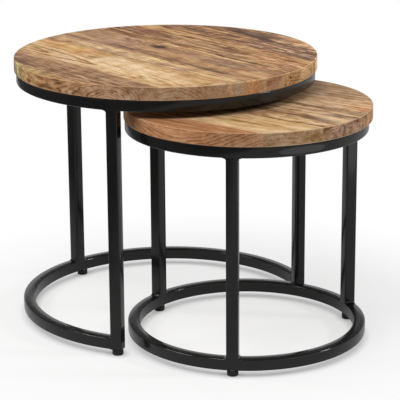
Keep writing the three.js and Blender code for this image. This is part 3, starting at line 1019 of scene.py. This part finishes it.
low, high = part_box("large_screw_front")
length = high.z - low.z
bpy.ops.mesh.primitive_cylinder_add(vertices=HEAD_STEPS, radius=HEAD_RADIUS, depth=HEAD_HEIGHT,
                                    location=(0, 0, HEAD_HEIGHT / 2))
screw = open_primitive("pan_head_screw")
choose("EDGE", at_foot)
bpy.ops.mesh.bevel(offset=HEAD_ROUNDING, segments=HEAD_ROUNDING_STEPS, affect="EDGES")
choose("FACE", looks_up)
bpy.ops.mesh.inset(thickness=HEAD_RADIUS - SCREW_SHANK)
bpy.ops.mesh.extrude_region_move(
    TRANSFORM_OT_translate={"value": (0, 0, length - HEAD_HEIGHT - TIP_LENGTH)})
bpy.ops.mesh.extrude_region_move(TRANSFORM_OT_translate={"value": (0, 0, TIP_LENGTH)})
bpy.ops.transform.resize(value=(TIP_SHARE, TIP_SHARE, 1), center_override=(0, 0, length))
close_piece(screw)
for turn in (0, pi / 2):
    bpy.ops.mesh.primitive_cube_add(size=1, scale=RECESS, rotation=(0, 0, turn), location=(0, 0, 0))
    cut_away(screw, bpy.context.object)
smooth(screw)

for name in cad_names("_screw_"):
    place = middle_of(name)
    place.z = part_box(name)[0].z
    copy = own_copy(screw, f"{name}_zinc")
    copy.data.transform(Matrix.Translation(place))
    dress(copy, zinc, f"{name.split('_')[0]}_table", name)
bpy.data.objects.remove(screw)


# --------------------------------------------------- threaded inserts and plugs
# Zinc inserts pressed into the underside of the base rings, and moulded plugs
# with the same threaded bush in the open ends of the legs beside the mouth.

FLANGE_RADIUS = 0.0075
FLANGE_THICKNESS = 0.001
FLANGE_EDGE = 0.35 * FLANGE_THICKNESS
BUSH_RADIUS = 0.0059
BUSH_STEPS = 64
BORE_RADIUS = 0.0043
PLUG_HALF = 0.0077
PLUG_EDGE = 0.0008


def moulded_nylon(name):
    """Black nylon, slightly pitted by the mould."""
    material, tree, shader, spot = clouded(
        name, scale=90, dark=(0.0045, 0.0045, 0.0045, 1), light=(0.009, 0.009, 0.009, 1),
        gloss=(0.48, 0.6), **{"Specular IOR Level": 0.35})
    pits = noise(tree, spot, (1500, 1500, 1500), 2).outputs[0]
    relief(tree, shader, pits, strength=0.15, depth=0.0002)
    return material


nylon = moulded_nylon("black_nylon_moulding")

low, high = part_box("large_insert_back")
bush_height = high.z - low.z
bpy.ops.mesh.primitive_cylinder_add(
    vertices=BUSH_STEPS, radius=FLANGE_RADIUS, depth=FLANGE_THICKNESS,
    location=(0, 0, FLANGE_THICKNESS / 2))
bush = open_primitive("bush")
choose("EDGE", at_foot)
bpy.ops.mesh.bevel(offset=FLANGE_EDGE, segments=3, affect="EDGES")
choose("FACE", looks_up)
bpy.ops.mesh.inset(thickness=FLANGE_RADIUS - BUSH_RADIUS)
bpy.ops.mesh.extrude_region_move(
    TRANSFORM_OT_translate={"value": (0, 0, bush_height - FLANGE_THICKNESS)})
bpy.ops.mesh.inset(thickness=BUSH_RADIUS - BORE_RADIUS)
choose("FACE", lambda face: face.normal.z < -0.999 and len(face.verts) > 8)
bpy.ops.mesh.inset(thickness=FLANGE_RADIUS - FLANGE_EDGE - BORE_RADIUS)
choose("FACE", lambda face: len(face.verts) > 8)
bpy.ops.mesh.delete(type="ONLY_FACE")
choose("EDGE", lambda edge: edge.is_boundary)
bpy.ops.mesh.bridge_edge_loops()
close_piece(bush)

for name in cad_names("_insert_", "_plug_"):
    table = name.split("_")[0]
    low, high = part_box(name)
    place = middle_of(name)
    place.z = low.z
    if "_insert_" in name:
        copy = own_copy(bush, f"{name}_zinc")
        copy.data.transform(Matrix.Translation(place))
        dress(copy, zinc, f"{table}_table", name)
        continue
    bottom = low.z + FLANGE_THICKNESS
    bpy.ops.mesh.primitive_cube_add(
        size=1, scale=(2 * PLUG_HALF, 2 * PLUG_HALF, high.z - bottom),
        location=(place.x, place.y, (bottom + high.z) / 2),
        rotation=(0, 0, turned_from(name, ring_places[table][0])))
    plug = open_primitive(f"{name}_nylon")
    bpy.ops.mesh.select_all(action="SELECT")
    bpy.ops.mesh.bevel(offset=PLUG_EDGE, segments=2, affect="EDGES")
    close_piece(plug)
    bpy.ops.mesh.primitive_cylinder_add(
        vertices=BUSH_STEPS, radius=BUSH_RADIUS, depth=4 * bush_height, location=place)
    cut_away(plug, bpy.context.object)
    inner = own_copy(bush, f"{name}_bush")
    inner.data.transform(Matrix.Translation(place))
    make_active(plug)
    inner.select_set(True)
    bpy.ops.object.join()
    smooth(plug)
    dress(plug, nylon, f"{table}_table", name)
bpy.data.objects.remove(bush)


# ------------------------------------------------------------ levelling glides
# A moulded nylon pad on a zinc-plated M8 stud. The stud screws into its insert
# or plug, and the pad turns by hand to level the table.

PAD_STEPS = 64
PAD_EDGE = 0.0021
PAD_EDGE_STEPS = 6
PAD_TOP_EDGE = 0.0005
SOCKET_RADIUS = 0.0043
SOCKET_DEPTH = 0.005
STUD_RADIUS = 0.004
THREAD_PITCH = 0.00125
THREAD_DEPTH = 0.0007
THREAD_STEPS = 32
THREAD_ANGLE = 25  # the flanks of the thread stay crisp

low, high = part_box("large_foot_left")
pad_height = high.z - low.z
pad_radius = (high.x - low.x) / 2
bpy.ops.mesh.primitive_cylinder_add(vertices=PAD_STEPS, radius=pad_radius, depth=pad_height,
                                    location=(0, 0, pad_height / 2))
pad = open_primitive("glide_pad")
choose("EDGE", at_foot)
bpy.ops.mesh.bevel(offset=PAD_EDGE, segments=PAD_EDGE_STEPS, affect="EDGES")
choose("FACE", looks_up)
bpy.ops.mesh.inset(thickness=pad_radius - SOCKET_RADIUS)
bpy.ops.mesh.extrude_region_move(TRANSFORM_OT_translate={"value": (0, 0, -SOCKET_DEPTH)})
choose("EDGE", lambda edge: min(vertex.co.z for vertex in edge.verts) > pad_height - TINY
       and min(vertex.co.xy.length for vertex in edge.verts) > pad_radius - 10 * TINY)
bpy.ops.mesh.bevel(offset=PAD_TOP_EDGE, segments=3, affect="EDGES")
close_piece(pad)

low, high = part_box("large_stud_left")
stud_length = high.z - low.z
bpy.ops.mesh.primitive_plane_add(size=THREAD_PITCH / sqrt(2), rotation=(pi / 2, pi / 4, 0))
stud = open_primitive("glide_stud")
choose("VERT", lambda vertex: vertex.co.x < -THREAD_PITCH / 4)
bpy.ops.mesh.delete(type="VERT")
bpy.ops.mesh.select_all(action="SELECT")
bpy.ops.transform.resize(value=(THREAD_DEPTH / (THREAD_PITCH / 2), 1, 1), center_override=(0, 0, 0))
bpy.ops.transform.translate(value=(STUD_RADIUS - THREAD_DEPTH, 0, -THREAD_PITCH))
bpy.ops.object.mode_set(mode="OBJECT")
apply_modifier(stud, "SCREW", axis="Z", angle=2 * pi, steps=THREAD_STEPS, render_steps=THREAD_STEPS,
               screw_offset=THREAD_PITCH, iterations=int(stud_length / THREAD_PITCH) + 3,
               use_merge_vertices=True, merge_threshold=TINY)
bpy.ops.object.mode_set(mode="EDIT")
for height, side in ((0, 1), (stud_length, -1)):
    bpy.ops.mesh.select_all(action="SELECT")
    bpy.ops.mesh.bisect(plane_co=(0, 0, height), plane_no=(0, 0, side), use_fill=True,
                        clear_inner=True)
close_piece(stud, THREAD_ANGLE)

for name in cad_names("_foot_", "_stud_"):
    table, kind, side = name.split("_")
    place = middle_of(name)
    place.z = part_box(name)[0].z
    source, material, ending = (pad, nylon, "nylon") if kind == "foot" else (stud, zinc, "zinc")
    copy = own_copy(source, f"{name}_{ending}")
    copy.data.transform(Matrix.Translation(place))
    dress(copy, material, f"{table}_glide_{side}", name)
bpy.data.objects.remove(pad)
bpy.data.objects.remove(stud)


# ------------------------------------------------------------------------- end

low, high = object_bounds()
